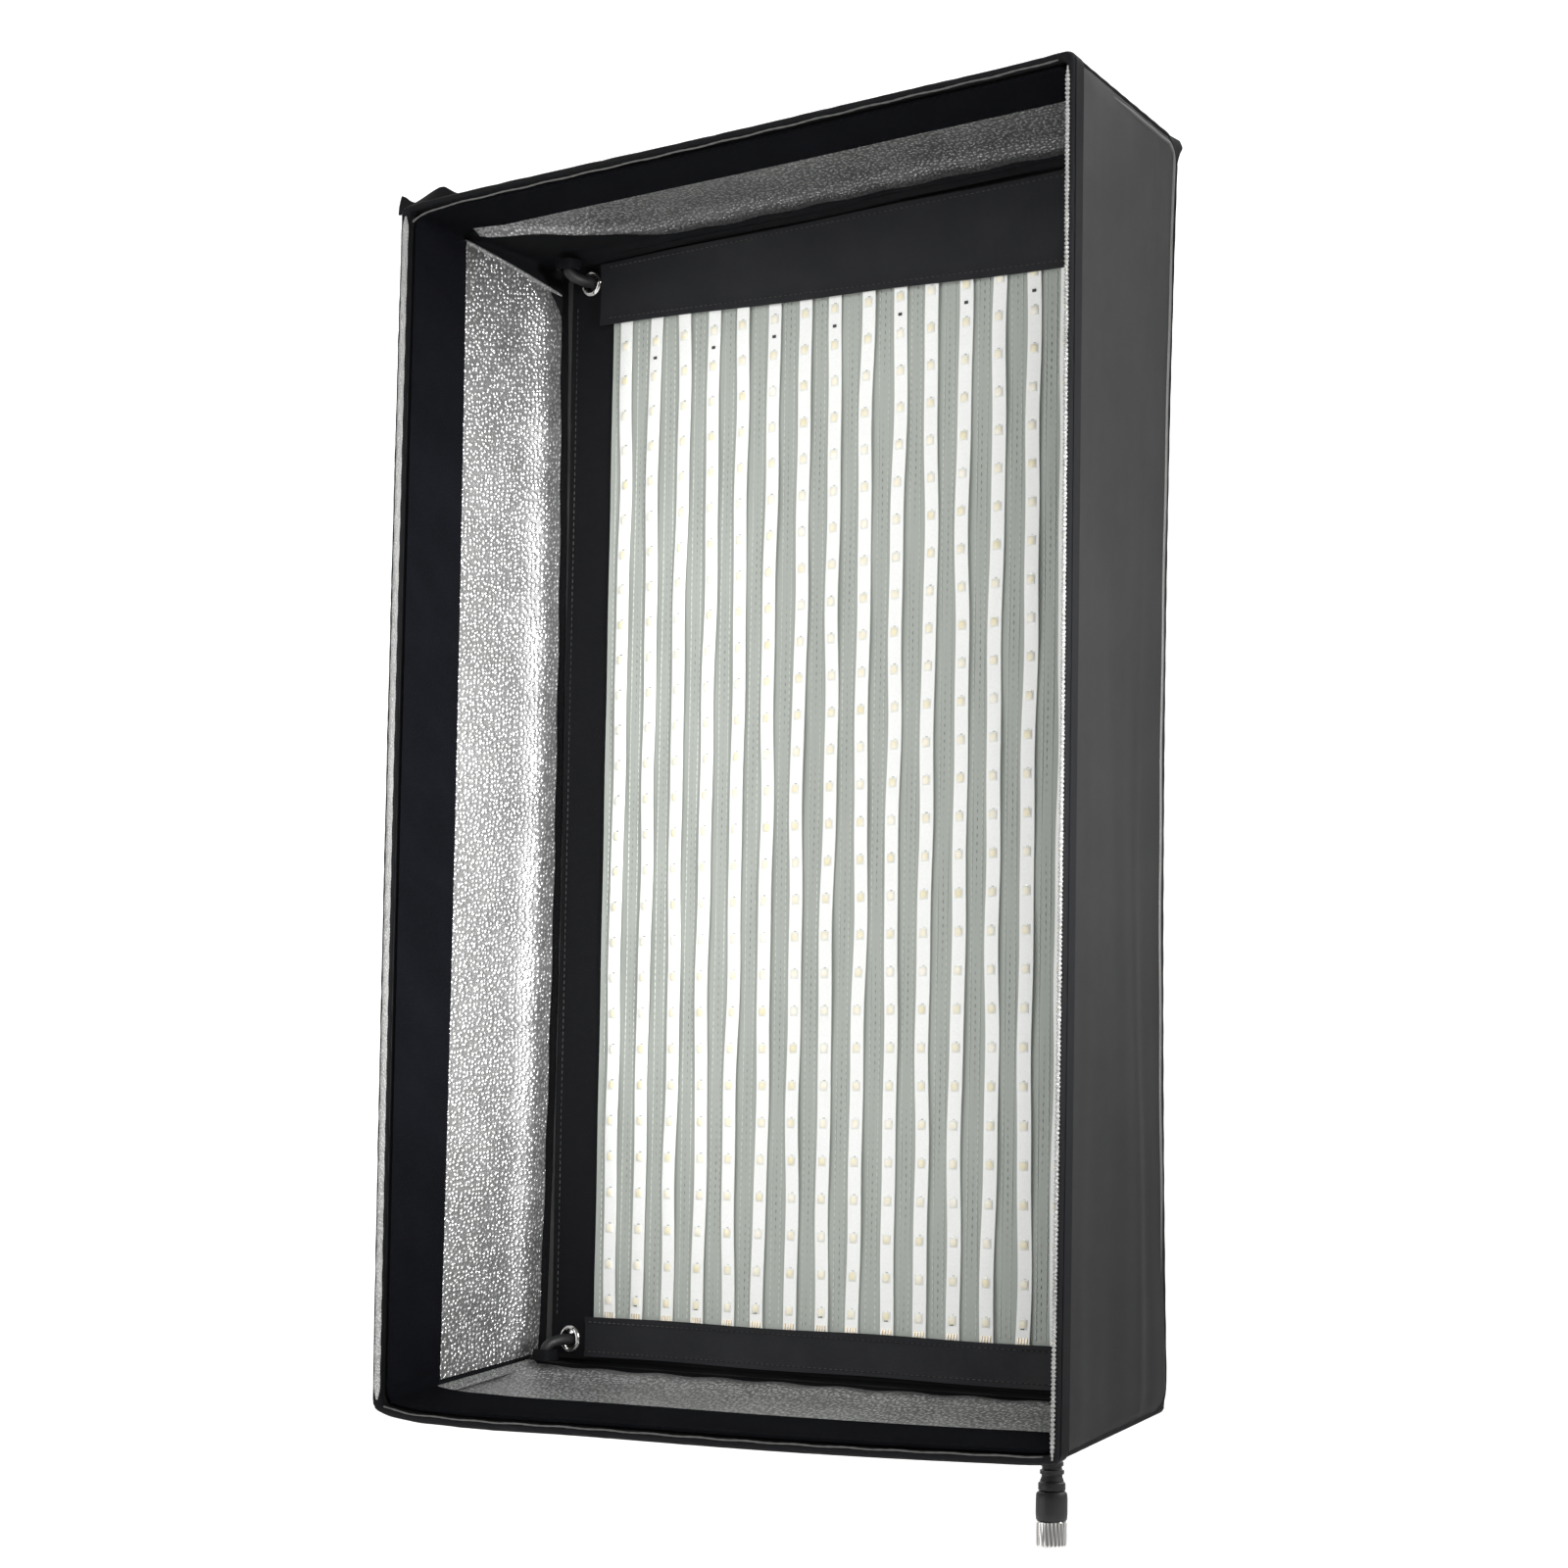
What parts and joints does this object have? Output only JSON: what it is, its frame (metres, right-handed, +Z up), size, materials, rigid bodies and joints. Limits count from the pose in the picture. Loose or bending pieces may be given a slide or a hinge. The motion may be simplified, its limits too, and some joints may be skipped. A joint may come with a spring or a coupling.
{
  "type": "strip softbox",
  "caption": "Shallow rectangular fabric softbox with silver lining, a flexible LED mat on a sprung X-bracket at its back, and a tilting stand receiver with a clamping lever.",
  "frame": {"origin": "centre of the mouth of the stand socket, on the underside of the receiver", "axes": "-Y the way the open front faces, +Z up along the stand, +X to the right seen from the front"},
  "size_m": [0.4368, 0.3006, 0.6835],
  "materials": {
    "nylon": "matte",
    "lining": "satin",
    "loop": "matte",
    "binding": "satin",
    "webbing": "matte",
    "mat_cloth": "matte",
    "field_cloth": "matte",
    "led_strip": "satin",
    "nickel": "polished",
    "rod": "satin",
    "bracket": "satin",
    "steel": "satin",
    "plastic": "matte",
    "washer": "matte",
    "cable": "matte"
  },
  "bodies": {
    "receiver": {"stand_receiver": "bracket", "pivot_bolt": "steel", "friction_washer_left": "washer", "friction_washer_right": "washer"},
    "head": {"corner_pocket_bl": "webbing", "corner_pocket_br": "webbing", "corner_pocket_tl": "webbing", "corner_pocket_tr": "webbing", "eyelet_bl": "nickel", "eyelet_br": "nickel", "eyelet_tl": "nickel", "eyelet_tr": "nickel", "front_edge_binding": "binding", "front_loop_band": "loop", "hub_back_plate": "bracket", "hub_bolt": "steel", "hub_front_plate": "bracket", "hub_pin_bl": "steel", "hub_pin_br": "steel", "hub_pin_tl": "steel", "hub_pin_tr": "steel", "lead_cable": "cable", "lead_gland": "cable", "led_strips": "led_strip", "mat_base_cloth": "mat_cloth", "mat_field_cloth": "field_cloth", "mat_header_band": "mat_cloth", "mat_lower_band": "mat_cloth", "plug_barrel": "plastic", "plug_boot": "cable", "plug_collar": "plastic", "rear_flange": "nylon", "rod_bl": "rod", "rod_br": "rod", "rod_socket_bl": "plastic", "rod_socket_br": "plastic", "rod_socket_tl": "plastic", "rod_socket_tr": "plastic", "rod_tip_bl": "plastic", "rod_tip_br": "plastic", "rod_tip_tl": "plastic", "rod_tip_tr": "plastic", "rod_tl": "rod", "rod_tr": "rod", "shell_bottom_lining": "lining", "shell_bottom_panel": "nylon", "shell_left_lining": "lining", "shell_left_panel": "nylon", "shell_right_lining": "lining", "shell_right_panel": "nylon", "shell_top_lining": "lining", "shell_top_panel": "nylon", "tilt_head": "bracket"},
    "lever": {"tilt_lever": "plastic"},
    "knob_travel": {"knob_stud": "steel"},
    "knob": {"socket_knob": "plastic"},
    "plug_ring": {"plug_ring": "nickel"}
  },
  "joints": [
    {"name": "head_tilt", "type": "hinge", "parent": "receiver", "child": "head", "pos_m": [0, 0, 0.085], "axis": [-1, 0, 0], "range_deg": [-15, 75]},
    {"name": "lever_turn", "type": "hinge", "parent": "receiver", "child": "lever", "pos_m": [0, 0, 0.085], "axis": [1, 0, 0], "range_deg": [0, 120]},
    {"name": "knob_slide", "type": "slide", "parent": "receiver", "child": "knob_travel", "axis": [0, 1, 0], "range_m": [-0.0002, 0.0045]},
    {"name": "knob_turn", "type": "hinge", "parent": "knob_travel", "child": "knob", "pos_m": [0, 0, 0.02], "axis": [0, 1, 0], "range_deg": [0, 1080]},
    {"name": "plug_ring_turn", "type": "hinge", "parent": "head", "child": "plug_ring", "pos_m": [0.092, -0.08, -0.271], "axis": [0, 0, 1], "continuous": true}
  ],
  "couplings": [
    {"joint": "knob_slide", "follows": "knob_turn", "m_per_rad": 0.00019894}
  ]
}
